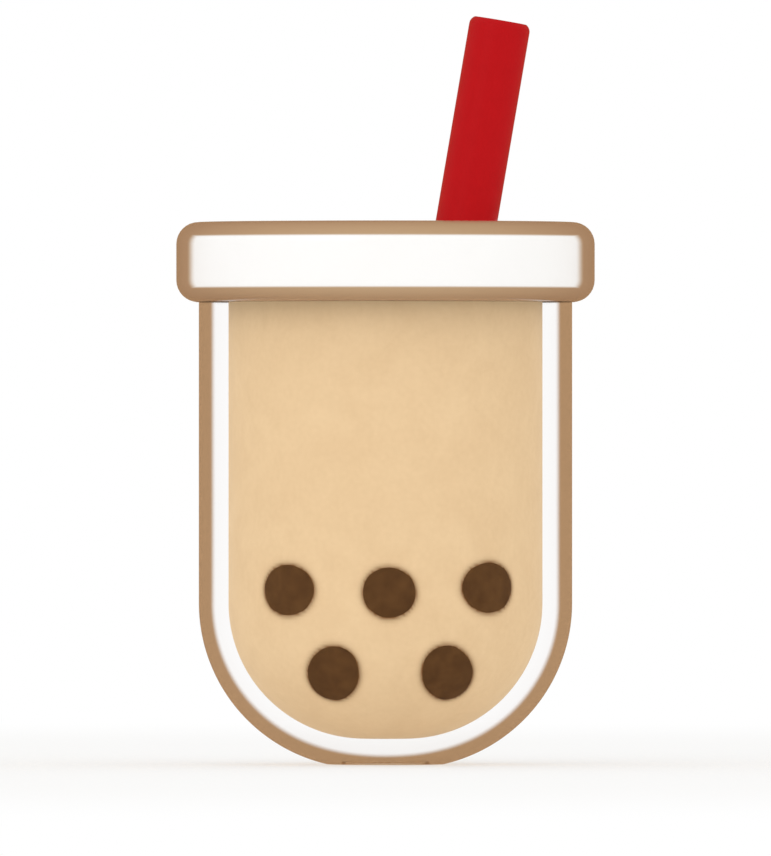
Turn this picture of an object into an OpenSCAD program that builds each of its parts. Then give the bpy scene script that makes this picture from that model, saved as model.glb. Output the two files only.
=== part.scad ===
// Bubble tea to take away: a clear cup with a round bottom, a white press-on
// lid, a wide red straw, milk tea and soft tapioca pearls against the wall.
// Millimetres, +Z up. The origin is on the cup's axis, in the plane the cup
// stands on. The front looks towards -Y and the straw leans towards +X.

/* [Cup] */
// Outside diameter of the cup's straight wall
cup_d = 83.6; // [70:0.1:100]
// Height of the cup's rim above the table
cup_h = 119.8; // [95:0.1:150]
// Thickness of the clear wall
wall_t = 6.7; // [1:0.1:8]
// Thickness of the floor
floor_t = 5.8; // [1.5:0.1:8]
// Outside radius of the big round corner between wall and floor
corner_r = 37; // [25:0.5:38]
// Diameter of the flat spot that the cup stands on
foot_d = 26; // [22:0.5:32]
// Depth of the round recess inside the flat spot
foot_recess = 0.7; // [0.3:0.1:1]
// Width of the ring that is left around the recess
foot_ring_w = 3.2; // [2:0.1:4]
// How far the rolled rim stands out from the wall
rim_overhang = 3.15; // [2:0.05:4]
// Radius of the rolled rim's round bead
rim_bead_r = 3; // [2:0.1:3.5]

/* [Lid] */
// Height of the lid's skirt
lid_h = 17.9; // [14:0.1:24]
// Thickness of the lid's sheet
lid_t = 1.6; // [1:0.1:2]
// How far the middle panel lies below the lid's top
panel_drop = 2.4; // [1.5:0.1:4]
// Play between the lid and the cup's rim and wall
fit_gap = 0.3; // [0.2:0.05:0.5]
// Height of the collar round the straw's hole, above the panel
collar_h = 1.2; // [0.6:0.1:1.4]
// Thickness of that collar
collar_t = 1.4; // [1:0.1:2]
// Diameter of the vent hole
vent_d = 1.6; // [1:0.1:3]
// Diameter of the shallow dimple round the vent hole
dimple_d = 8; // [5:0.5:12]
// Depth of that dimple
dimple_depth = 0.5; // [0.3:0.1:0.7]

/* [Straw] */
// Outside diameter of the straw
straw_d = 13.7; // [11:0.1:15]
// Thickness of the straw's wall
straw_t = 0.6; // [0.4:0.1:0.8]
// How far the straw leans from upright, in degrees
straw_lean = 9.65; // [4:0.05:12]
// Distance from the cup's axis to the straw's axis in the plane of the lid's top
straw_x = 18.1; // [12:0.1:21]
// Length of straw above the lid's top
straw_rise = 45.8; // [25:0.1:80]
// Play between the straw and its hole
hole_gap = 0.35; // [0.2:0.05:0.6]
// Play between the straw's lower end and the floor
foot_gap = 0.2; // [0.1:0.05:0.4]

/* [Drink] */
// Height of the tea's surface above the lid's lower edge
fill_over = 2.5; // [0.5:0.5:6]

/* [Pearls] */
// Diameter of a pearl
pearl_d = 13; // [9:0.5:15]
// How much of its round is pressed flat by the wall
pearl_press = 3.5; // [1:0.1:4.5]
// Height of the upper row above the table
upper_z = 39.2; // [37:0.1:60]
// How far a pearl of the upper row strays up or down
upper_stray = 0.6; // [0:0.1:1.5]
// Number of pearls in front in the upper row
upper_front_n = 3; // [1:1:3]
// Turn from one of them to the next, in degrees
upper_step = 39.4; // [36:0.1:44]
// Turn of their middle from the front, in degrees
upper_turn = 1.3; // [-5:0.1:5]
// Number of pearls round the back in the upper row
upper_back_n = 5; // [2:1:5]
// Height of the lower row above the table
lower_z = 20.4; // [18:0.1:22]
// Number of pearls in front in the lower row
lower_front_n = 2; // [1:1:2]
// Turn from one of them to the next, in degrees
lower_step = 49.1; // [40:0.1:70]
// Turn of their middle from the front, in degrees
lower_turn = 2.3; // [-5:0.1:5]
// Number of pearls round the back in the lower row
lower_back_n = 4; // [2:1:4]
// Turn of the first and the last pearl round the back, in degrees
back_from = 106; // [100:0.5:112]

/* [Hidden] */
$fn = 96;
CUT = 1;                                  // how far a cutter runs past a face

// Cup: an outer and an inner U, each a straight wall over a round corner
cup_r = cup_d / 2;
foot_r = foot_d / 2;
flat_r = cup_r - corner_r;                // radius where the round corner ends
foot_sag = corner_r - sqrt(pow(corner_r, 2) - pow(foot_r - flat_r, 2));
corner_z = corner_r - foot_sag;
inner_r = cup_r - wall_t;
inner_corner_r = corner_r - wall_t;
inner_corner_z = floor_t + inner_corner_r;
rim_r = cup_r + rim_overhang;

// Lid: its top ring lies on the rim, its skirt follows the rim's bead, and its
// plug wall stands inside the mouth
lid_r = rim_r + fit_gap + lid_t;
lid_corner_r = rim_bead_r + fit_gap + lid_t;
lid_top = cup_h + lid_t;
lid_z = lid_top - lid_h;
plug_r = inner_r - fit_gap;
panel_r = plug_r - lid_t;
panel_z = lid_top - panel_drop;
vent_x = -0.68 * panel_r;
dimple_bulge = lid_t / 2;

// Drink
drink_z = lid_z + fill_over;

// Straw: its lowest edge stands just above the floor
straw_r = straw_d / 2;
straw_end_z = foot_seat(foot_seat(floor_t));

// Pearls: [height, turn] of each, the front ones first in their row
pearl_r = pearl_d / 2;
PEARLS = concat(
    pearl_row(upper_z, upper_stray, upper_front_n, upper_step, upper_turn, upper_back_n),
    pearl_row(lower_z, 0, lower_front_n, lower_step, lower_turn, lower_back_n)
);

// One row of pearls: some in front, then the rest spread evenly round the back,
// in turn level, a little lower and a little higher
function pearl_row(z, stray, front_n, step, turn, back_n) = concat(
    [for (i = [0 : front_n - 1])
        [z - stray * sin(120 * i), turn + (i - (front_n - 1) / 2) * step]],
    [for (i = [0 : back_n - 1])
        [z - stray * sin(120 * i), back_from + i * (360 - 2 * back_from) / (back_n - 1)]]
);

// Height of the cup's inner floor at a distance from the axis
function floor_at(r) =
    r <= inner_r - inner_corner_r ? floor_t
    : inner_corner_z - sqrt(pow(inner_corner_r, 2) - pow(r - inner_r + inner_corner_r, 2));

// Distance of the straw's axis from the cup's axis at a height
function straw_x_at(z) = straw_x - (lid_top - z) * tan(straw_lean);

// Height for the middle of the straw's lower end, from a first guess at it:
// every point of that end's edge is at least foot_gap above the floor
function foot_seat(guess) = max([
    for (a = [0 : 15 : 345])
        floor_at(norm([straw_x_at(guess) + straw_r * cos(a) * cos(straw_lean),
                       straw_r * sin(a)]))
        + foot_gap + straw_r * cos(a) * sin(straw_lean)
]);

// Slope of the inner wall at a height: 0 where it is upright
function wall_slope(z) =
    z >= inner_corner_z ? 0 : asin((inner_corner_z - z) / inner_corner_r);

// One half of a round-bottomed U, to be turned round the axis
module u_section(radius, corner, centre_z, bottom_z, top_z) {
    intersection() {
        union() {
            translate([radius - corner, centre_z]) circle(r = corner);
            translate([0, centre_z]) square([radius, top_z - centre_z]);
            translate([0, centre_z - corner]) square([radius - corner, corner]);
        }
        translate([0, bottom_z]) square([radius, top_z - bottom_z]);
    }
}

// The space inside the cup up to a height
module cavity(top_z) {
    rotate_extrude()
        u_section(inner_r, inner_corner_r, inner_corner_z, floor_t, top_z);
}

// A cylinder along the straw's axis, from its lower end
module straw_bar(r, length) {
    translate([straw_x_at(straw_end_z), 0, straw_end_z])
        rotate([0, straw_lean, 0]) cylinder(r = r, h = length);
}

// The whole straw's outside, as long as the straw
module straw_core(r) {
    straw_bar(r, (lid_top - straw_end_z) / cos(straw_lean) + straw_rise);
}

// A pearl as a full ball, sunk into the wall by what the wall presses flat,
// with its pole towards the wall
module pearl_ball(place) {
    inset = pearl_r - pearl_press;
    slope = wall_slope(place[0]);
    wall_r = inner_r - inner_corner_r * (1 - cos(slope));
    rotate([0, 0, place[1]])
        translate([0, -wall_r + inset * cos(slope), place[0] + inset * sin(slope)])
            rotate([90 + slope, 0, 0]) sphere(r = pearl_r);
}

module cup() {
    color([0.96, 0.98, 1, 0.35])
    difference() {
        rotate_extrude() {
            difference() {
                union() {
                    u_section(cup_r, corner_r, corner_z, 0, cup_h);
                    translate([rim_r - rim_bead_r, cup_h - rim_bead_r])
                        circle(r = rim_bead_r);
                }
                u_section(inner_r, inner_corner_r, inner_corner_z, floor_t, cup_h + CUT);
            }
        }
        translate([0, 0, -CUT])
            cylinder(r = foot_r - foot_ring_w, h = foot_recess + CUT);
    }
}

// The lid's outline: a flat drum whose two outer edges are rounded
module lid_drum(radius, corner, low_z, high_z) {
    for (z = [low_z + corner, high_z - corner])
        translate([radius - corner, z]) circle(r = corner);
    translate([0, low_z]) square([radius - corner, high_z - low_z]);
    translate([0, low_z + corner]) square([radius, high_z - low_z - 2 * corner]);
}

module lid() {
    color("white")
    difference() {
        union() {
            rotate_extrude() {
                difference() {
                    lid_drum(lid_r, lid_corner_r, lid_z, lid_top);
                    lid_drum(lid_r - lid_t, lid_corner_r - lid_t,
                             lid_z + lid_t, lid_top - lid_t);
                    translate([0, lid_z - CUT])
                        square([cup_r + fit_gap, lid_t + 2 * CUT]);
                    translate([0, lid_top - lid_t - CUT])
                        square([plug_r, lid_t + 2 * CUT]);
                }
                translate([panel_r, panel_z - lid_t])
                    square([lid_t, panel_drop + lid_t]);
                translate([0, panel_z - lid_t]) square([plug_r, lid_t]);
            }
            intersection() {
                straw_bar(straw_r + hole_gap + collar_t, 2 * lid_top);
                translate([0, 0, panel_z - lid_t])
                    cylinder(r = panel_r, h = lid_t + collar_h);
            }
            translate([vent_x, 0, panel_z - lid_t - dimple_bulge])
                cylinder(d = dimple_d + 2 * lid_t, h = lid_t);
        }
        straw_bar(straw_r + hole_gap, 2 * lid_top);
        translate([vent_x, 0, panel_z - dimple_depth])
            cylinder(d = dimple_d, h = dimple_depth + CUT);
        translate([vent_x, 0, panel_z - 2 * lid_t - CUT])
            cylinder(d = vent_d, h = 2 * lid_t + 2 * CUT);
    }
}

module straw() {
    color([0.71, 0.09, 0.11])
    difference() {
        straw_core(straw_r);
        translate([0, 0, -CUT]) straw_bar(straw_r - straw_t, 2 * lid_top + 2 * straw_rise);
    }
}

module drink() {
    color([0.91, 0.78, 0.61])
    difference() {
        cavity(drink_z);
        difference() {
            straw_core(straw_r);
            straw_core(straw_r - straw_t);
        }
        for (place = PEARLS) pearl_ball(place);
    }
}

module pearl(place) {
    color([0.36, 0.24, 0.13])
    intersection() {
        pearl_ball(place);
        cavity(drink_z);
    }
}

cup();
lid();
straw();
drink();
for (i = [1 : len(PEARLS)])
    pearl(PEARLS[i - 1]);
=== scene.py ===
"""A bubble tea to take away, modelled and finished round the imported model's frame.

A clear round-bottomed cup holds opaque milk tea and soft tapioca pearls. A white
lid is pressed over its rim, and a wide red straw leans in the lid's hole.

Everything is in metres, +Z up. The cup's axis is at the origin, the front looks
towards -Y and the straw leans towards +X.
"""

from __future__ import annotations

import logging
import math
from abc import ABC, abstractmethod
from dataclasses import dataclass, field
from enum import Enum

import bpy
from mathutils import Matrix, Vector
from mathutils.bvhtree import BVHTree


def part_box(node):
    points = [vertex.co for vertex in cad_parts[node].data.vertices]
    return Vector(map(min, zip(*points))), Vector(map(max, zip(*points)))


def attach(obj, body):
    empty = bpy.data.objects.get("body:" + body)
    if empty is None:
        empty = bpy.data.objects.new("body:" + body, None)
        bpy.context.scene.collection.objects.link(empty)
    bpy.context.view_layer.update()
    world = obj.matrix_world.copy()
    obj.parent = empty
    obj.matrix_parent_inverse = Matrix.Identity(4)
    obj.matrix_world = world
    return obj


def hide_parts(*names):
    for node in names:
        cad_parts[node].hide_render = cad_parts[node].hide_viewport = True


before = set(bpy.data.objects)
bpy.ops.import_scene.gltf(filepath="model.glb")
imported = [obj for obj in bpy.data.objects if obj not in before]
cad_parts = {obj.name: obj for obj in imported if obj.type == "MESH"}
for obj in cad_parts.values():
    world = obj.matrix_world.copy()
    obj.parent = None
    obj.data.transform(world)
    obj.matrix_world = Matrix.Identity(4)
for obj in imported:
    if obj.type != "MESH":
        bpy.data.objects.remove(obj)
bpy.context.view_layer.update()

MM = 0.001
MERGE = 0.001 * MM
LOG = logging.getLogger("bubble_tea")

Colour = tuple[float, float, float, float]


# --------------------------------------------------------------------- colours and nodes


def linear(code: str) -> Colour:
    """Turns an sRGB hex colour into the linear values that a shader takes.

    Args:
        code: six hex digits, such as "e7c69b".

    Returns:
        Red, green, blue and an alpha of 1.
    """
    channels = [int(code[i : i + 2], 16) / 255 for i in (0, 2, 4)]
    red, green, blue = (
        c / 12.92 if c <= 0.04045 else ((c + 0.055) / 1.055) ** 2.4 for c in channels
    )
    return red, green, blue, 1.0


def add_node(
    tree: bpy.types.NodeTree,
    kind: str,
    settings: dict | None = None,
    links: dict | None = None,
) -> bpy.types.Node:
    """Adds a node to a tree, with its settings and the links into it.

    Args:
        tree: the node tree.
        kind: the node's type, such as "ShaderNodeTexNoise".
        settings: values by the name of a property, or by an input's name or number.
        links: output sockets by the name or number of the input that each goes to.

    Returns:
        The new node.
    """
    node = tree.nodes.new(kind)
    for key, value in (settings or {}).items():
        if isinstance(key, str) and hasattr(node, key):
            setattr(node, key, value)
        else:
            node.inputs[key].default_value = value
    for key, source in (links or {}).items():
        tree.links.new(source, node.inputs[key])
    return node


def per_metre(size_mm: float) -> float:
    """The scale at which a noise texture has features of a size in millimetres."""
    return 1.0 / (size_mm * MM)


# --------------------------------------------------------------------------- finishes


class Finish(ABC):
    """A surface's material, built once and worn by the pieces that share it."""

    name: str
    slot: str

    @abstractmethod
    def build(self, tree: bpy.types.NodeTree, place: bpy.types.NodeSocket) -> bpy.types.Node:
        """Adds the finish's nodes.

        Args:
            tree: the material's node tree, empty.
            place: the position on the piece, in metres.

        Returns:
            The shader node.
        """

    def material(self) -> bpy.types.Material:
        """The finish's material, made when it is first asked for."""
        known = bpy.data.materials.get(self.name)
        if known:
            return known
        material = bpy.data.materials.new(self.name)
        material.use_nodes = True
        tree = material.node_tree
        tree.nodes.clear()
        place = add_node(tree, "ShaderNodeTexCoord").outputs["Object"]
        shader = self.build(tree, place)
        add_node(tree, "ShaderNodeOutputMaterial", links={"Surface": shader.outputs[0]})
        return material


@dataclass(frozen=True)
class ClarifiedPolypropylene(Finish):
    """Clarified polypropylene, injection moulded in a polished mould.

    It is water clear and glossy. Its thick wall shows as a clear band beside the drink.
    Where the eye looks along the wall its colour turns to a painted warm brown edge shade,
    in place of the darker surroundings that real plastic refracts at its edges.
    """

    name: str = "clarified polypropylene"
    slot: str = "cup_plastic"
    body_hex: str = "ffffff"
    painted_edge_shade_hex: str = "b08c68"
    edge_shade_from: float = 0.58
    edge_shade_full: float = 0.66
    level_from: float = 0.998
    level_to: float = 0.99
    gloss_ior: float = 1.49
    gloss_roughness: float = 0.04
    ripple_mm: float = 26.0
    ripple_depth_mm: float = 0.6
    ripple_strength: float = 0.25

    def build(self, tree: bpy.types.NodeTree, place: bpy.types.NodeSocket) -> bpy.types.Node:
        """Adds the nodes of a clear, coated body with a warm edge."""
        ripple = add_node(
            tree,
            "ShaderNodeTexNoise",
            {"Scale": per_metre(self.ripple_mm), "Detail": 1.0},
            {"Vector": place},
        )
        # The slow ripple of moulded plastic, which only bends its reflections.
        bump = add_node(
            tree,
            "ShaderNodeBump",
            {"Strength": self.ripple_strength, "Distance": self.ripple_depth_mm * MM},
            {"Height": ripple.outputs["Fac"]},
        )
        # Painted edge shade: the clear body turns warm brown where the eye looks along the wall.
        facing = add_node(tree, "ShaderNodeLayerWeight", {"Blend": 0.5})
        seen = add_node(
            tree,
            "ShaderNodeMapRange",
            {
                "interpolation_type": "SMOOTHSTEP",
                "From Min": self.edge_shade_from,
                "From Max": self.edge_shade_full,
            },
            {"Value": facing.outputs["Facing"]},
        )
        # The level faces, such as those under the foot, stay clear of the painted edge shade.
        normal = add_node(tree, "ShaderNodeTexCoord").outputs["Normal"]
        split = add_node(tree, "ShaderNodeSeparateXYZ", links={0: normal})
        level = add_node(
            tree, "ShaderNodeMath", {"operation": "ABSOLUTE"}, {0: split.outputs["Z"]}
        )
        edge = add_node(
            tree,
            "ShaderNodeMapRange",
            {"From Min": self.level_to, "From Max": self.level_from, "To Max": 0.0},
            {"Value": level.outputs[0], "To Min": seen.outputs["Result"]},
        )
        body = add_node(
            tree,
            "ShaderNodeMix",
            {"data_type": "RGBA", 6: linear(self.body_hex), 7: linear(self.painted_edge_shade_hex)},
            {0: edge.outputs["Result"]},
        )
        # The body doesn't bend light, so the drink keeps its true width behind the wall;
        # the gloss is the coat's, with polypropylene's own index.
        return add_node(
            tree,
            "ShaderNodeBsdfPrincipled",
            {
                "Transmission Weight": 1.0,
                "IOR": 1.0,
                "Roughness": 0.0,
                "Coat Weight": 0.7,
                "Coat IOR": self.gloss_ior,
                "Coat Roughness": self.gloss_roughness,
            },
            {"Base Color": body.outputs[2], "Coat Normal": bump.outputs["Normal"]},
        )


@dataclass(frozen=True)
class WhitePolypropylene(Finish):
    """White polypropylene sheet, thermoformed over a fine-blasted mould.

    It is satin white under a clear gloss. On the outside the gloss is tinted with a painted
    warm brown edge shade, in the rounded bends and along the skirt where the eye looks along it.
    """

    name: str = "white polypropylene"
    slot: str = "lid_plastic"
    base_hex: str = "fefefd"
    shade_hex: str = "faf9f7"
    gloss_hex: str = "ffffff"
    painted_edge_shade_hex: str = "b99466"
    edge_shade_from: float = 0.58
    edge_shade_full: float = 0.69
    bend_shade_from: float = 0.29
    bend_shade_full: float = 0.41
    outside_mm: float = 42.05
    outside_soft_mm: float = 0.2
    grain_mm: float = 0.35
    grain_depth_mm: float = 0.05
    grain_strength: float = 0.12
    cloud_mm: float = 14.0
    roughness: tuple[float, float] = (0.26, 0.38)
    body_ior: float = 1.49
    gloss_ior: float = 1.35
    gloss_roughness: float = 0.12

    def build(self, tree: bpy.types.NodeTree, place: bpy.types.NodeSocket) -> bpy.types.Node:
        """Adds the nodes of a satin white with a blasted grain."""
        cloud = add_node(
            tree,
            "ShaderNodeTexNoise",
            {"Scale": per_metre(self.cloud_mm), "Detail": 3.0},
            {"Vector": place},
        )
        base = add_node(
            tree,
            "ShaderNodeMix",
            {"data_type": "RGBA", 6: linear(self.base_hex), 7: linear(self.shade_hex)},
            {0: cloud.outputs["Fac"]},
        )
        # Blasting grit is about 0.1 mm; the grain is drawn coarser, so that it shows.
        grain = add_node(
            tree,
            "ShaderNodeTexNoise",
            {"Scale": per_metre(self.grain_mm), "Detail": 2.0},
            {"Vector": place},
        )
        bump = add_node(
            tree,
            "ShaderNodeBump",
            {"Strength": self.grain_strength, "Distance": self.grain_depth_mm * MM},
            {"Height": grain.outputs["Fac"]},
        )
        rough = add_node(
            tree,
            "ShaderNodeMapRange",
            {"To Min": self.roughness[0], "To Max": self.roughness[1]},
            {"Value": cloud.outputs["Fac"]},
        )
        # The coat's tint carries the painted brown edge shade.
        gloss = add_node(
            tree,
            "ShaderNodeMix",
            {"data_type": "RGBA", 6: linear(self.gloss_hex), 7: linear(self.painted_edge_shade_hex)},
            {0: self.edge(tree, place)},
        )
        return add_node(
            tree,
            "ShaderNodeBsdfPrincipled",
            {
                "IOR": self.body_ior,
                "Specular IOR Level": 0.1,
                "Coat Weight": 0.9,
                "Coat IOR": self.gloss_ior,
                "Coat Roughness": self.gloss_roughness,
            },
            {
                "Base Color": base.outputs[2],
                "Roughness": rough.outputs["Result"],
                "Normal": bump.outputs["Normal"],
                "Coat Tint": gloss.outputs[2],
            },
        )

    def edge(
        self, tree: bpy.types.NodeTree, place: bpy.types.NodeSocket
    ) -> bpy.types.NodeSocket:
        """Adds the nodes of the painted brown edge shade: on the outside's bends, and where the eye
        looks along the surface.

        Args:
            tree: the material's node tree.
            place: the position on the piece, in metres.

        Returns:
            How much of the painted brown edge shade shows.
        """
        # Painted edge shade where the eye looks along the outside, and on its rounded bends
        # whatever the view.
        facing = add_node(tree, "ShaderNodeLayerWeight", {"Blend": 0.5})
        normal = add_node(tree, "ShaderNodeTexCoord").outputs["Normal"]
        split = add_node(tree, "ShaderNodeSeparateXYZ", links={0: normal})
        tilt = add_node(
            tree, "ShaderNodeMath", {"operation": "ABSOLUTE"}, {0: split.outputs["Z"]}
        )
        along = add_node(
            tree,
            "ShaderNodeMapRange",
            {
                "interpolation_type": "SMOOTHSTEP",
                "From Min": self.edge_shade_from,
                "From Max": self.edge_shade_full,
            },
            {"Value": facing.outputs["Facing"]},
        )
        bend = add_node(
            tree,
            "ShaderNodeMapRange",
            {
                "interpolation_type": "SMOOTHSTEP",
                "From Min": self.bend_shade_from,
                "From Max": self.bend_shade_full,
            },
            {"Value": tilt.outputs[0]},
        )
        seen = add_node(
            tree,
            "ShaderNodeMath",
            {"operation": "MAXIMUM"},
            {0: along.outputs["Result"], 1: bend.outputs["Result"]},
        )
        # Only the outside, beyond the cup's rim, gets the painted edge shade.
        flat = add_node(
            tree, "ShaderNodeVectorMath", {"operation": "MULTIPLY", 1: (1, 1, 0)}, {0: place}
        )
        reach = add_node(
            tree, "ShaderNodeVectorMath", {"operation": "LENGTH"}, {0: flat.outputs[0]}
        )
        outside = add_node(
            tree,
            "ShaderNodeMapRange",
            {
                "interpolation_type": "SMOOTHSTEP",
                "From Min": (self.outside_mm - self.outside_soft_mm) * MM,
                "From Max": (self.outside_mm + self.outside_soft_mm) * MM,
            },
            {"Value": reach.outputs["Value"]},
        )
        both = add_node(
            tree,
            "ShaderNodeMath",
            {"operation": "MULTIPLY"},
            {0: seen.outputs[0], 1: outside.outputs["Result"]},
        )
        return both.outputs[0]


@dataclass(frozen=True)
class RedPolypropylene(Finish):
    """Red polypropylene, extruded as a tube: satin, with faint drawn lines along it."""

    name: str = "red polypropylene"
    slot: str = "straw_plastic"
    base_hex: str = "be0f15"
    deep_hex: str = "b30c12"
    line_mm: float = 0.9
    line_stretch: float = 0.02
    line_depth_mm: float = 0.08
    line_strength: float = 0.15
    cloud_mm: float = 3.5
    roughness: tuple[float, float] = (0.34, 0.48)
    lean: float = 0.0

    def build(self, tree: bpy.types.NodeTree, place: bpy.types.NodeSocket) -> bpy.types.Node:
        """Adds the nodes of a satin red with extrusion lines that follow the tube."""
        upright = add_node(
            tree,
            "ShaderNodeMapping",
            {"Rotation": (0.0, -self.lean, 0.0), "Scale": (1.0, 1.0, self.line_stretch)},
            {"Vector": place},
        )
        lines = add_node(
            tree,
            "ShaderNodeTexNoise",
            {"Scale": per_metre(self.line_mm), "Detail": 2.0},
            {"Vector": upright.outputs["Vector"]},
        )
        cloud = add_node(
            tree,
            "ShaderNodeTexNoise",
            {"Scale": per_metre(self.cloud_mm), "Detail": 4.0, "Roughness": 0.6},
            {"Vector": place},
        )
        base = add_node(
            tree,
            "ShaderNodeMix",
            {"data_type": "RGBA", 6: linear(self.base_hex), 7: linear(self.deep_hex)},
            {0: cloud.outputs["Fac"]},
        )
        bump = add_node(
            tree,
            "ShaderNodeBump",
            {"Strength": self.line_strength, "Distance": self.line_depth_mm * MM},
            {"Height": lines.outputs["Fac"]},
        )
        rough = add_node(
            tree,
            "ShaderNodeMapRange",
            {"To Min": self.roughness[0], "To Max": self.roughness[1]},
            {"Value": lines.outputs["Fac"]},
        )
        return add_node(
            tree,
            "ShaderNodeBsdfPrincipled",
            {"IOR": 1.49, "Specular IOR Level": 0.08},
            {
                "Base Color": base.outputs[2],
                "Roughness": rough.outputs["Result"],
                "Normal": bump.outputs["Normal"],
            },
        )


@dataclass(frozen=True)
class MilkTea(Finish):
    """Black tea with milk: an opaque, warm beige liquid, a little uneven where it was stirred.

    Close to a pearl the film of tea over it is thin, and the pearl's brown shows through.
    """

    name: str = "milk tea"
    slot: str = "milk_tea"
    base_hex: str = "e7c99f"
    cloud_hex: str = "e1c298"
    film_hex: str = "7a5230"
    film_attribute: str = "film"
    cloud_mm: float = 11.0
    speck_mm: float = 1.3
    speck_share: float = 0.35

    def build(self, tree: bpy.types.NodeTree, place: bpy.types.NodeSocket) -> bpy.types.Node:
        """Adds the nodes of a cloudy liquid that thins over the pearls."""
        cloud = add_node(
            tree,
            "ShaderNodeTexNoise",
            {"Scale": per_metre(self.cloud_mm), "Detail": 4.0, "Distortion": 0.8},
            {"Vector": place},
        )
        specks = add_node(
            tree,
            "ShaderNodeTexNoise",
            {"Scale": per_metre(self.speck_mm), "Detail": 2.0},
            {"Vector": place},
        )
        mottle = add_node(
            tree,
            "ShaderNodeMix",
            {"data_type": "FLOAT", 0: self.speck_share},
            {2: cloud.outputs["Fac"], 3: specks.outputs["Fac"]},
        )
        amount = add_node(
            tree,
            "ShaderNodeMapRange",
            {"From Min": 0.35, "From Max": 0.65},
            {"Value": mottle.outputs[0]},
        )
        tea = add_node(
            tree,
            "ShaderNodeMix",
            {"data_type": "RGBA", 6: linear(self.base_hex), 7: linear(self.cloud_hex)},
            {0: amount.outputs["Result"]},
        )
        film = add_node(tree, "ShaderNodeAttribute", {"attribute_name": self.film_attribute})
        base = add_node(
            tree,
            "ShaderNodeMix",
            {"data_type": "RGBA", 7: linear(self.film_hex)},
            {0: film.outputs["Fac"], 6: tea.outputs[2]},
        )
        return add_node(
            tree,
            "ShaderNodeBsdfPrincipled",
            {"IOR": 1.34, "Roughness": 0.45, "Specular IOR Level": 0.02},
            {"Base Color": base.outputs[2]},
        )


@dataclass(frozen=True)
class CookedTapioca(Finish):
    """Tapioca boiled with brown sugar: dark, smooth and a little clearer in places."""

    name: str = "cooked tapioca"
    slot: str = "tapioca"
    base_hex: str = "5d3f23"
    deep_hex: str = "4c311a"
    cloud_mm: float = 4.0
    dent_mm: float = 0.2
    dent_strength: float = 0.2

    def build(self, tree: bpy.types.NodeTree, place: bpy.types.NodeSocket) -> bpy.types.Node:
        """Adds the nodes of a dark, slightly mottled jelly."""
        cloud = add_node(
            tree,
            "ShaderNodeTexNoise",
            {"Scale": per_metre(self.cloud_mm), "Detail": 4.0, "Roughness": 0.55},
            {"Vector": place},
        )
        amount = add_node(
            tree,
            "ShaderNodeMapRange",
            {"From Min": 0.3, "From Max": 0.7},
            {"Value": cloud.outputs["Fac"]},
        )
        base = add_node(
            tree,
            "ShaderNodeMix",
            {"data_type": "RGBA", 6: linear(self.base_hex), 7: linear(self.deep_hex)},
            {0: amount.outputs["Result"]},
        )
        bump = add_node(
            tree,
            "ShaderNodeBump",
            {"Strength": self.dent_strength, "Distance": self.dent_mm * MM},
            {"Height": cloud.outputs["Fac"]},
        )
        return add_node(
            tree,
            "ShaderNodeBsdfPrincipled",
            {"IOR": 1.45, "Roughness": 0.3, "Specular IOR Level": 0.02},
            {"Base Color": base.outputs[2], "Normal": bump.outputs["Normal"]},
        )


@dataclass(frozen=True)
class PaleTable(Finish):
    """A pale, matt table top that glows a little and runs out into the light of the room."""

    name: str = "pale table"
    slot: str = ""
    base_hex: str = "f3f2f0"
    room: Colour = (1.0, 1.0, 1.0, 1.0)
    near_glow: float = 0.5
    fade_from: float = 0.30
    fade_to: float = 0.75
    grain_mm: float = 2.5
    grain_depth_mm: float = 0.1
    grain_strength: float = 0.05

    def build(self, tree: bpy.types.NodeTree, place: bpy.types.NodeSocket) -> bpy.types.Node:
        """Adds the nodes of a matt white that turns into the room's light with distance."""
        grain = add_node(
            tree,
            "ShaderNodeTexNoise",
            {"Scale": per_metre(self.grain_mm), "Detail": 3.0},
            {"Vector": place},
        )
        bump = add_node(
            tree,
            "ShaderNodeBump",
            {"Strength": self.grain_strength, "Distance": self.grain_depth_mm * MM},
            {"Height": grain.outputs["Fac"]},
        )
        matt = add_node(
            tree,
            "ShaderNodeBsdfDiffuse",
            {"Color": linear(self.base_hex)},
            {"Normal": bump.outputs["Normal"]},
        )
        glow = add_node(tree, "ShaderNodeEmission", {"Color": self.room})
        reach = add_node(
            tree, "ShaderNodeVectorMath", {"operation": "LENGTH"}, {0: place}
        )
        far = add_node(
            tree,
            "ShaderNodeMapRange",
            {
                "interpolation_type": "SMOOTHSTEP",
                "From Min": self.fade_from,
                "From Max": self.fade_to,
                "To Min": self.near_glow,
            },
            {"Value": reach.outputs["Value"]},
        )
        return add_node(
            tree,
            "ShaderNodeMixShader",
            links={0: far.outputs["Result"], 1: matt.outputs[0], 2: glow.outputs[0]},
        )


@dataclass(frozen=True)
class TentCloth(Finish):
    """The brown cloth of a light tent, which glossy plastic mirrors along its edges."""

    name: str = "tent cloth"
    slot: str = ""
    cloth_hex: str = "b08c68"

    def build(self, tree: bpy.types.NodeTree, place: bpy.types.NodeSocket) -> bpy.types.Node:
        """Adds the nodes of an evenly lit cloth."""
        return add_node(tree, "ShaderNodeEmission", {"Color": linear(self.cloth_hex)})


# --------------------------------------------------------------------------- modelling


def deselect_all() -> None:
    """Leaves nothing selected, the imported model's own nodes included."""
    bpy.ops.object.select_all(action="DESELECT")


def work_on(piece: bpy.types.Object) -> None:
    """Selects one piece alone and makes it active."""
    deselect_all()
    piece.select_set(True)
    bpy.context.view_layer.objects.active = piece


def settle(piece: bpy.types.Object) -> None:
    """Puts a piece's place, turn and size into its mesh."""
    work_on(piece)
    bpy.ops.object.transform_apply(location=True, rotation=True, scale=True)


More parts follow.
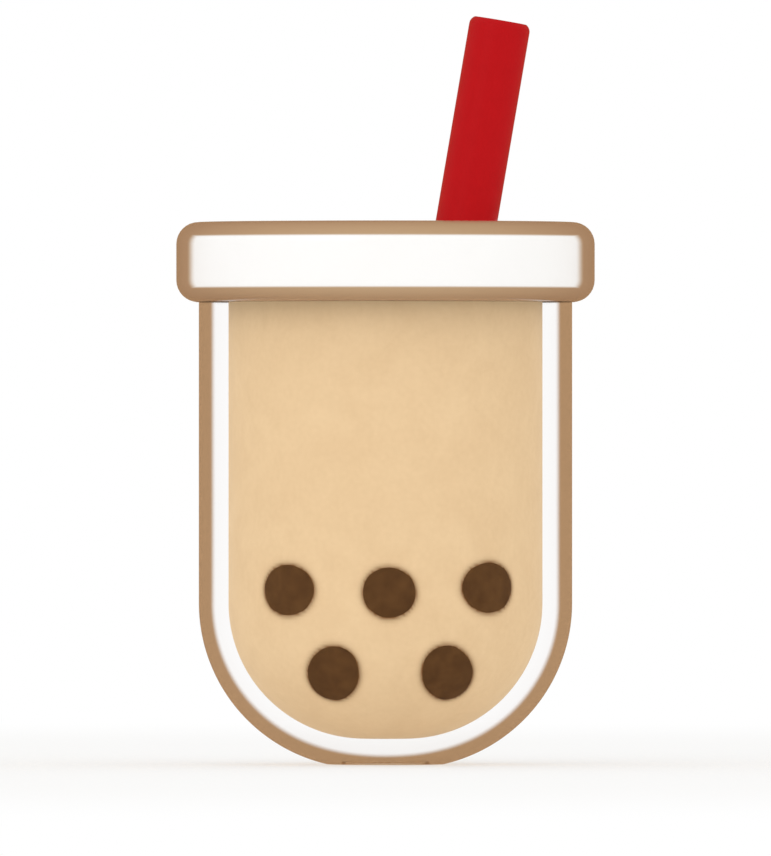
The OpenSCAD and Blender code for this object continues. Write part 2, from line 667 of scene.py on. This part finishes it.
def apply_modifier(piece: bpy.types.Object, kind: str, **settings: object) -> None:
    """Adds a modifier to a piece and applies it.

    Args:
        piece: the piece.
        kind: the modifier's type, such as "BOOLEAN".
        settings: the modifier's properties by name.
    """
    work_on(piece)
    bpy.ops.object.modifier_add(type=kind)
    modifier = piece.modifiers[-1]
    for key, value in settings.items():
        setattr(modifier, key, value)
    bpy.ops.object.modifier_apply(modifier=modifier.name)


class Cut(Enum):
    """What a boolean modifier does with the second piece."""

    AWAY = "DIFFERENCE"
    ON = "UNION"


def combine(piece: bpy.types.Object, tool: bpy.types.Object, how: Cut) -> None:
    """Cuts a tool's shape out of a piece, or joins it on, and clears the tool away."""
    apply_modifier(piece, "BOOLEAN", operation=how.value, object=tool, solver="EXACT")
    bpy.data.objects.remove(tool)


def smooth(piece: bpy.types.Object, crease_deg: float = 35.0) -> None:
    """Shades a piece smooth, with an edge kept wherever its faces meet at more than an angle."""
    work_on(piece)
    bpy.ops.object.shade_smooth_by_angle(angle=math.radians(crease_deg))


@dataclass
class Outline:
    """A half section that is turned round an axis, in metres.

    Each point is a radius, a height and the radius by which its corner is rounded.
    """

    points: list[tuple[float, float, float]] = field(default_factory=list)

    def to(self, radius: float, height: float, rounding: float = 0.0, steps: int = 1) -> Outline:
        """Runs straight on to a point, in one or several steps."""
        if steps > 1:
            old_r, old_z, _ = self.points[-1]
            for step in range(1, steps):
                share = step / steps
                self.points.append(
                    (old_r + (radius - old_r) * share, old_z + (height - old_z) * share, 0.0)
                )
        self.points.append((radius, height, rounding))
        return self

    def arc(
        self, centre: tuple[float, float], radius: float, start: float, end: float, steps: int
    ) -> Outline:
        """Runs along an arc.

        Args:
            centre: the arc's centre, as a radius and a height.
            radius: the arc's own radius.
            start: the angle it starts at, in degrees, 0 outwards and 90 upwards.
            end: the angle it ends at.
            steps: how many straight pieces it has.

        Returns:
            The outline itself.
        """
        for step in range(steps + 1):
            angle = math.radians(start + (end - start) * step / steps)
            self.points.append(
                (centre[0] + radius * math.cos(angle), centre[1] + radius * math.sin(angle), 0.0)
            )
        return self

    def traced(self, steps: int = 8) -> list[Vector]:
        """The outline's points with each rounded corner as an arc of some steps."""
        corners = [Vector((r, 0.0, z)) for r, z, _ in self.points]
        traced: list[Vector] = []
        for index, (_, _, rounding) in enumerate(self.points):
            corner = corners[index]
            if not rounding:
                traced.append(corner)
                continue
            back = (corners[index - 1] - corner).normalized()
            on = (corners[index + 1] - corner).normalized()
            half = back.angle(on) / 2
            middle = corner + (back + on).normalized() * (rounding / math.sin(half))
            first = corner + back * (rounding / math.tan(half)) - middle
            last = corner + on * (rounding / math.tan(half)) - middle
            for step in range(steps + 1):
                spoke = first.slerp(last, step / steps, first)
                traced.append(middle + spoke.normalized() * rounding)
        return traced


def turned(
    name: str, outline: Outline, sides: int, ring: bool = False
) -> bpy.types.Object:
    """Turns an outline into a round piece, as on a lathe.

    Args:
        name: the piece's name.
        outline: its half section.
        sides: how many sides the turning has.
        ring: True where the outline closes on itself and never meets the axis.

    Returns:
        The piece, closed and with its faces outwards.
    """
    points = outline.traced()
    deselect_all()
    bpy.ops.mesh.primitive_plane_add(size=MM)
    piece = bpy.context.object
    piece.name = name
    piece.data.name = name
    bpy.ops.object.mode_set(mode="EDIT")
    bpy.ops.mesh.select_mode(type="VERT")
    bpy.ops.mesh.select_all(action="SELECT")
    bpy.ops.mesh.merge(type="CENTER")
    bpy.ops.transform.translate(value=points[0])
    for old, new in zip(points, points[1:]):
        bpy.ops.mesh.extrude_vertices_move(TRANSFORM_OT_translate={"value": new - old})
    if ring:
        bpy.ops.mesh.extrude_vertices_move(
            TRANSFORM_OT_translate={"value": points[0] - points[-1]}
        )
    bpy.ops.mesh.select_all(action="SELECT")
    bpy.ops.mesh.remove_doubles(threshold=MERGE)
    bpy.ops.mesh.spin(steps=sides, angle=math.tau, center=(0, 0, 0), axis=(0, 0, 1))
    bpy.ops.mesh.select_all(action="SELECT")
    bpy.ops.mesh.remove_doubles(threshold=MERGE)
    bpy.ops.mesh.normals_make_consistent(inside=False)
    bpy.ops.object.mode_set(mode="OBJECT")
    return piece


# ------------------------------------------------------------------------ sub-assemblies


@dataclass
class SubAssembly(ABC):
    """Something that is built of pieces, which all ride on the one body."""

    body: str = "root"

    @abstractmethod
    def build(self) -> None:
        """Models the pieces and dresses them."""

    def dress(self, piece: bpy.types.Object, finish: Finish, node: str) -> bpy.types.Object:
        """Gives a finished piece its material and its place in the frame.

        Args:
            piece: the piece, with its place in its mesh.
            finish: what it is made of.
            node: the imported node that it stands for.

        Returns:
            The piece.
        """
        piece.data.materials.clear()
        piece.data.materials.append(finish.material())
        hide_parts(node)
        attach(piece, self.body)
        faces = len(piece.data.polygons)
        LOG.info("%s: %d faces of %s, for node %s", piece.name, faces, finish.name, node)
        return piece


@dataclass
class Cup(SubAssembly):
    """The clear cup: a straight wall over a big round corner, a small foot and a rolled rim.

    Its height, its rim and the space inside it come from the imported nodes.
    """

    wall: float = 6.7 * MM
    corner: float = 37.0 * MM
    foot: float = 13.0 * MM
    foot_ring: float = 3.2 * MM
    recess: float = 0.7 * MM
    bead: float = 3.0 * MM
    lid_over_rim: float = 1.9 * MM
    gate: float = 1.3 * MM
    gate_h: float = 0.35 * MM
    edge: float = 0.3 * MM
    pole: float = 1.0 * MM
    corner_steps: int = 48
    bead_steps: int = 20
    cavity_corner_steps: int = 32
    cavity_wall_steps: int = 48
    sides: int = 256

    def __post_init__(self) -> None:
        """Reads the sizes that the frame gives."""
        self.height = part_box("cup")[1].z
        self.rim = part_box("lid")[1].x - self.lid_over_rim
        self.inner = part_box("drink")[1].x
        self.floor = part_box("drink")[0].z
        self.outer = self.inner + self.wall
        self.inner_corner = self.corner - self.wall
        self.corner_z = math.sqrt(self.corner**2 - (self.foot - self.flat) ** 2)

    @property
    def flat(self) -> float:
        """The radius inside which the bottom would be flat."""
        return self.outer - self.corner

    def cavity(self, top: float, reach: float = 0.0, fineness: int = 1) -> Outline:
        """The outline of the space inside the cup.

        Args:
            top: the height that it goes up to.
            reach: how far it goes into the wall.
            fineness: how many times finer than usual its steps are.

        Returns:
            The outline from the floor's middle to the wall at that height.
        """
        radius = self.inner + reach
        corner = self.inner_corner + reach
        middle_z = self.floor + self.inner_corner
        outline = Outline().to(0.0, middle_z - corner).to(self.pole, middle_z - corner)
        outline.arc(
            (radius - corner, middle_z), corner, -90, 0, self.cavity_corner_steps * fineness
        )
        return outline.to(radius, top, steps=self.cavity_wall_steps * fineness)

    def build(self) -> None:
        """Models the cup as one turned piece."""
        foot_angle = math.degrees(math.atan2(-self.corner_z, self.foot - self.flat))
        bead_r = self.rim - self.bead
        bead_z = self.height - self.bead
        join_angle = -180 + math.degrees(math.acos((bead_r - self.outer) / self.bead))
        gate_top = self.recess - self.gate_h
        hole = self.foot - self.foot_ring
        inner_z = self.floor + self.inner_corner
        outline = Outline().to(0.0, gate_top).to(self.gate, gate_top, self.edge)
        outline.to(self.gate, self.recess).to(hole, self.recess, self.edge).to(hole, 0.0, self.edge)
        outline.to(self.foot - self.edge, 0.0)
        outline.arc((self.flat, self.corner_z), self.corner, foot_angle, 0, self.corner_steps)
        outline.arc((bead_r, bead_z), self.bead, join_angle, 90, self.bead_steps)
        outline.to(self.inner, self.height, 2 * self.edge)
        inner_middle = (self.inner - self.inner_corner, inner_z)
        outline.arc(inner_middle, self.inner_corner, 0, -90, self.corner_steps)
        outline.to(0.0, self.floor)
        piece = turned("cup_body", outline, self.sides)
        smooth(piece)
        self.dress(piece, ClarifiedPolypropylene(), "cup")
        # Light reaches the drink through the clear wall, as through real plastic.
        piece.visible_shadow = False


@dataclass
class Straw(SubAssembly):
    """The wide straw: a thin tube with a softly rounded mouth."""

    wall: float = 0.6 * MM
    lean: float = math.radians(9.65)
    curl: float = 2.0 * MM
    curl_deg: float = 58.0
    curl_steps: int = 10
    lip_steps: int = 8
    sides: int = 128

    def __post_init__(self) -> None:
        """Finds both ends of the straw's axis from its packed box."""
        low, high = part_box("straw")
        self.radius = (high.y - low.y) / 2
        across = self.radius * math.cos(self.lean)
        along = self.radius * math.sin(self.lean)
        self.bottom = Vector((low.x + across, 0.0, low.z + along))
        self.top = Vector((high.x - across, 0.0, high.z - along))

    @property
    def length(self) -> float:
        """The straw's length along its axis."""
        return (self.top - self.bottom).length

    def lay_on_axis(self, piece: bpy.types.Object, start: Vector) -> None:
        """Leans an upright piece onto the straw's axis, with its origin at a point."""
        piece.matrix_world = Matrix.Translation(start) @ Matrix.Rotation(self.lean, 4, "Y")
        settle(piece)

    def axis_at(self, height: float) -> Vector:
        """The point of the straw's axis at a height."""
        share = (height - self.bottom.z) / (self.top.z - self.bottom.z)
        return self.bottom.lerp(self.top, share)

    def build(self) -> None:
        """Models the tube, with its mouth smoothed and drawn in a little."""
        inner = self.radius - self.wall
        half = self.wall / 2
        turn = math.radians(self.curl_deg)
        middle = self.curl - half
        curl_r = self.radius - self.curl
        curl_z = self.length - half - middle * math.sin(turn)
        end = (curl_r + middle * math.cos(turn), curl_z + middle * math.sin(turn))
        outline = Outline().to(inner, 0.0).to(self.radius, 0.0)
        outline.arc((curl_r, curl_z), self.curl, 0, self.curl_deg, self.curl_steps)
        outline.arc(end, half, self.curl_deg, self.curl_deg + 180, self.lip_steps)
        outline.arc((curl_r, curl_z), self.curl - self.wall, self.curl_deg, 0, self.curl_steps)
        piece = turned("straw_tube", outline, self.sides, ring=True)
        self.lay_on_axis(piece, self.bottom)
        smooth(piece)
        self.dress(piece, RedPolypropylene(lean=self.lean), "straw")


@dataclass
class Lid(SubAssembly):
    """The white lid: a skirt round the cup's rim, a sunken panel, a straw hole and a vent."""

    cup: Cup | None = None
    straw: Straw | None = None
    sheet: float = 1.6 * MM
    gap: float = 0.3 * MM
    panel_drop: float = 2.4 * MM
    bead_at: float = 31.0 * MM
    bead_h: float = 0.4 * MM
    bead_steps: int = 10
    hole_gap: float = 0.35 * MM
    collar: float = 1.4 * MM
    collar_h: float = 1.2 * MM
    vent_at: float = 0.68
    vent: float = 0.8 * MM
    dimple: float = 4.0 * MM
    dimple_depth: float = 0.5 * MM
    edge: float = 0.4 * MM
    bar_length: float = 30.0 * MM
    pin_sides: int = 48
    level: float = 0.99
    sides: int = 256

    def __post_init__(self) -> None:
        """Reads the lid's box and works out its panel."""
        low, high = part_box("lid")
        self.low, self.top, self.radius = low.z, high.z, high.x
        self.corner = self.cup.bead + self.gap + self.sheet
        self.panel_z = self.top - self.panel_drop
        self.plug = self.cup.inner - self.gap
        self.panel = self.plug - self.sheet

    def build(self) -> None:
        """Models the turned sheet, adds the collar and cuts the holes."""
        piece = turned("lid_shell", self.section(), self.sides)
        combine(piece, self.collar_post(), Cut.ON)
        hole_r = self.straw.radius + self.hole_gap
        hole = turned("hole_cutter", self.bar(hole_r), self.straw.sides)
        self.straw.lay_on_axis(hole, self.straw.axis_at(self.panel_z - self.bar_length / 3))
        combine(piece, hole, Cut.AWAY)
        vent_x = -self.vent_at * self.panel
        for radius, depth in ((self.dimple, self.dimple_depth), (self.vent, 2 * self.sheet)):
            pin = turned("vent_cutter", self.bar(radius), self.pin_sides)
            pin.location = (vent_x, 0.0, self.panel_z - depth)
            settle(pin)
            combine(piece, pin, Cut.AWAY)
        smooth(piece)
        self.dress(piece, WhitePolypropylene(), "lid")

    def section(self) -> Outline:
        """The lid's sheet in section, from the panel's middle round the skirt and back."""
        inside = self.cup.outer + self.gap
        sheet_r = self.radius - self.sheet
        outline = Outline().to(0.0, self.panel_z)
        outline.to(self.bead_at, self.panel_z)
        bead_middle = (self.bead_at + self.bead_h, self.panel_z)
        outline.arc(bead_middle, self.bead_h, 180, 0, self.bead_steps)
        outline.to(self.panel, self.panel_z, self.edge)
        outline.to(self.panel, self.top, 2 * self.edge)
        outline.to(self.radius, self.top, self.corner)
        outline.to(self.radius, self.low, self.corner)
        outline.to(inside, self.low, self.edge)
        outline.to(inside, self.low + self.sheet, self.edge)
        outline.to(sheet_r, self.low + self.sheet, self.corner - self.sheet)
        outline.to(sheet_r, self.top - self.sheet, self.corner - self.sheet)
        outline.to(self.plug, self.top - self.sheet, self.edge)
        outline.to(self.plug, self.panel_z - self.sheet, self.edge)
        return outline.to(0.0, self.panel_z - self.sheet)

    def bar(self, radius: float) -> Outline:
        """The outline of a plain bar, long enough to pass through the panel."""
        end = self.bar_length
        return Outline().to(0.0, 0.0).to(radius, 0.0).to(radius, end).to(0.0, end)

    def collar_post(self) -> bpy.types.Object:
        """A leaning post, cut level below and above the panel, with a softened top edge."""
        outer = self.straw.radius + self.hole_gap + self.collar
        post = turned("collar_post", self.bar(outer), self.straw.sides)
        self.straw.lay_on_axis(post, self.straw.axis_at(self.panel_z - self.bar_length / 2))
        work_on(post)
        bpy.ops.object.mode_set(mode="EDIT")
        low_cut = (self.panel_z - self.sheet / 2, -1)
        high_cut = (self.panel_z + self.collar_h, 1)
        for height, up in (low_cut, high_cut):
            bpy.ops.mesh.select_all(action="SELECT")
            bpy.ops.mesh.bisect(
                plane_co=(0, 0, height), plane_no=(0, 0, up), use_fill=True, clear_outer=True
            )
        bpy.ops.mesh.select_all(action="DESELECT")
        bpy.ops.object.mode_set(mode="OBJECT")
        for polygon in post.data.polygons:
            polygon.select = polygon.normal.z > self.level
        bpy.ops.object.mode_set(mode="EDIT")
        bpy.ops.mesh.select_mode(type="FACE")
        bpy.ops.mesh.region_to_loop()
        bpy.ops.mesh.bevel(offset=self.edge, segments=4, affect="EDGES")
        bpy.ops.object.mode_set(mode="OBJECT")
        return post


@dataclass
class Pearls(SubAssembly):
    """The tapioca pearls: soft balls, each pressed flat where it lies against the wall.

    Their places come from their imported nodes.
    """

    cup: Cup | None = None
    radius: float = 6.5 * MM
    press: float = 3.3 * MM
    reach: float = 0.12 * MM
    lump: float = 0.3 * MM
    face_on: float = 0.85
    lump_size: float = 7.0 * MM
    form_sides: int = 384
    crease_deg: float = 60.0
    made: list[bpy.types.Object] = field(default_factory=list)

    def build(self) -> None:
        """Models one ball, and presses a copy of it to the wall for each pearl."""
        ball = self.ball()
        inside = self.cup.cavity(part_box("drink")[1].z, self.reach, fineness=2)
        wall = turned("press_form", inside, self.form_sides)
        lumps = bpy.data.textures.new("tapioca lumps", "CLOUDS")
        lumps.noise_scale = self.lump_size
        for node in sorted(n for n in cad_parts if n.startswith("pearl_")):
            pearl = self.copy_of(ball, node.replace("pearl", "pearl_ball"))
            self.place(pearl, node)
            apply_modifier(pearl, "DISPLACE", texture=lumps, strength=self.lump, mid_level=0.5)
            apply_modifier(
                pearl,
                "SHRINKWRAP",
                target=wall,
                wrap_method="NEAREST_SURFACEPOINT",
                wrap_mode="INSIDE",
            )
            smooth(pearl, self.crease_deg)
            self.made.append(self.dress(pearl, CookedTapioca(), node))
        bpy.data.objects.remove(wall)
        bpy.data.objects.remove(ball)

    def ball(self) -> bpy.types.Object:
        """A ball whose pole points to the front."""
        deselect_all()
        bpy.ops.mesh.primitive_uv_sphere_add(segments=64, ring_count=40, radius=self.radius)
        ball = bpy.context.object
        ball.rotation_euler = (math.pi / 2, 0.0, 0.0)
        settle(ball)
        return ball

    def copy_of(self, ball: bpy.types.Object, name: str) -> bpy.types.Object:
        """A copy of the ball with a mesh of its own."""
        pearl = ball.copy()
        pearl.data = ball.data.copy()
        pearl.name = name
        pearl.data.name = name
        bpy.context.collection.objects.link(pearl)
        return pearl

    def place(self, pearl: bpy.types.Object, node: str) -> None:
        """Spreads a ball along the wall and sets it where its node is.

        A pearl of the front row is spread so that its flat side looks round from the front.

        Args:
            pearl: the ball, at the origin.
            node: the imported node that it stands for.
        """
        low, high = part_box(node)
        middle = (low + high) / 2
        turn = math.atan2(middle.x, -middle.y)
        inset = self.radius - self.press
        drop = self.cup.floor + self.cup.inner_corner - middle.z
        slope = math.asin(max(0.0, drop) / (self.cup.inner_corner - inset))
        distance = self.cup.inner - self.cup.inner_corner * (1 - math.cos(slope))
        distance -= inset * math.cos(slope)
        aside = self.face_on * turn if abs(turn) < math.pi / 2 else 0.0
        spread = Matrix.Identity(4)
        spread[0][0] = 1 / math.cos(aside)
        spread[0][2] = -math.tan(aside) * math.tan(slope)
        spread[2][2] = 1 / math.cos(slope)
        pearl.data.transform(
            Matrix.Rotation(turn, 4, "Z")
            @ Matrix.Translation((0.0, -distance, middle.z))
            @ Matrix.Rotation(slope, 4, "X")
            @ spread
        )


@dataclass
class Tea(SubAssembly):
    """The milk tea: a closed body that fills the cup and reaches just into its wall."""

    cup: Cup | None = None
    pearls: Pearls | None = None
    reach: float = 0.05 * MM
    meniscus: float = 1.2 * MM
    film_depth: float = 0.4 * MM
    near: float = 10.0 * MM
    meniscus_steps: int = 4
    crease_deg: float = 50.0
    sides: int = 384

    def build(self) -> None:
        """Models the tea and marks where pearls show through its surface."""
        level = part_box("drink")[1].z
        radius = self.cup.inner + self.reach
        outline = self.cup.cavity(level - self.meniscus, self.reach, fineness=2)
        middle = (radius - self.meniscus, level - self.meniscus)
        outline.arc(middle, self.meniscus, 0, 90, self.meniscus_steps)
        outline.to(0.0, level)
        piece = turned("milk_tea_fill", outline, self.sides)
        smooth(piece, self.crease_deg)
        self.mark_films(piece)
        self.dress(piece, MilkTea(), "drink")

    def mark_films(self, piece: bpy.types.Object) -> None:
        """Writes how much of a pearl shows through the tea's surface as an attribute."""
        attribute = piece.data.attributes.new(MilkTea.film_attribute, "FLOAT", "POINT")
        films = [0.0] * len(piece.data.vertices)
        for pearl in self.pearls.made:
            corners = [v.co for v in pearl.data.vertices]
            middle = sum(corners, Vector()) / len(corners)
            tree = BVHTree.FromPolygons(corners, [p.vertices for p in pearl.data.polygons])
            for vertex in piece.data.vertices:
                if (vertex.co - middle).length > self.near:
                    continue
                depth = tree.find_nearest(vertex.co)[3]
                films[vertex.index] = max(
                    films[vertex.index], math.exp(-max(0.0, depth - self.reach) / self.film_depth)
                )
        attribute.data.foreach_set("value", films)


@dataclass
class Studio:
    """A pale table in an even, bright room, with a soft key light and a long lens.

    None of it is part of the object.
    """

    distance: float = 5.0
    aim: Vector = field(default_factory=lambda: Vector((0.0, 0.0, 0.0753)))
    field_height: float = 0.1917
    table_gap: float = 0.05 * MM
    table_radius: float = 2.0
    tent_radius: float = 8.0
    room: Colour = (1.0, 1.0, 1.0, 1.0)

    def build(self) -> None:
        """Makes the table, the tent, the lights and the camera."""
        self.table()
        self.tent()
        self.world()
        self.light("key_light", Vector((-0.9, -1.5, 0.9)), size=0.9, power=2.2, mirrored=True)
        self.light("front_light", Vector((1.1, -2.0, 0.12)), size=1.4, power=1.9, mirrored=False)
        self.camera()
        bpy.context.scene.view_settings.view_transform = "Standard"

    def table(self) -> None:
        """A wide round table top."""
        deselect_all()
        bpy.ops.mesh.primitive_circle_add(
            vertices=96,
            radius=self.table_radius,
            fill_type="NGON",
            location=(0, 0, -self.table_gap),
        )
        top = bpy.context.object
        top.name = "table_top"
        top.data.materials.append(PaleTable(room=self.room).material())
        top.visible_glossy = False

    def tent(self) -> None:
        """A brown tent that only glossy reflections see."""
        deselect_all()
        bpy.ops.mesh.primitive_uv_sphere_add(segments=32, ring_count=16, radius=self.tent_radius)
        tent = bpy.context.object
        tent.name = "light_tent"
        tent.data.materials.append(TentCloth().material())
        tent.visible_camera = False
        tent.visible_diffuse = False
        tent.visible_transmission = False
        tent.visible_volume_scatter = False
        tent.visible_shadow = False

    def world(self) -> None:
        """An even, bright room."""
        world = bpy.data.worlds.new("bright room")
        world.use_nodes = True
        world.node_tree.nodes["Background"].inputs["Color"].default_value = self.room
        bpy.context.scene.world = world

    def light(self, name: str, place: Vector, size: float, power: float, mirrored: bool) -> None:
        """A square soft light that points at the cup.

        Args:
            name: the light's name.
            place: where it stands.
            size: the length of its side.
            power: its power in watts.
            mirrored: whether glossy surfaces mirror it.
        """
        deselect_all()
        bpy.ops.object.light_add(type="AREA", location=place)
        light = bpy.context.object
        light.name = name
        light.data.size = size
        light.data.energy = power
        light.visible_glossy = mirrored
        light.rotation_euler = (self.aim - place).to_track_quat("-Z", "Y").to_euler()

    def camera(self) -> None:
        """A long lens, level with the middle of the view."""
        bpy.ops.object.camera_add(location=self.aim - Vector((0.0, self.distance, 0.0)))
        camera = bpy.context.object
        camera.name = "front_camera"
        camera.rotation_euler = (math.pi / 2, 0.0, 0.0)
        camera.data.lens = camera.data.sensor_width * self.distance / self.field_height
        camera.data.clip_end = 3 * self.distance
        bpy.context.scene.camera = camera


def main() -> None:
    """Builds the studio and each sub-assembly in order."""
    logging.basicConfig(level=logging.INFO, format="%(message)s")
    Studio().build()
    cup = Cup()
    straw = Straw()
    lid = Lid(cup=cup, straw=straw)
    pearls = Pearls(cup=cup)
    tea = Tea(cup=cup, pearls=pearls)
    for part in (cup, straw, lid, pearls, tea):
        part.build()


if __name__ == "__main__":
    main()
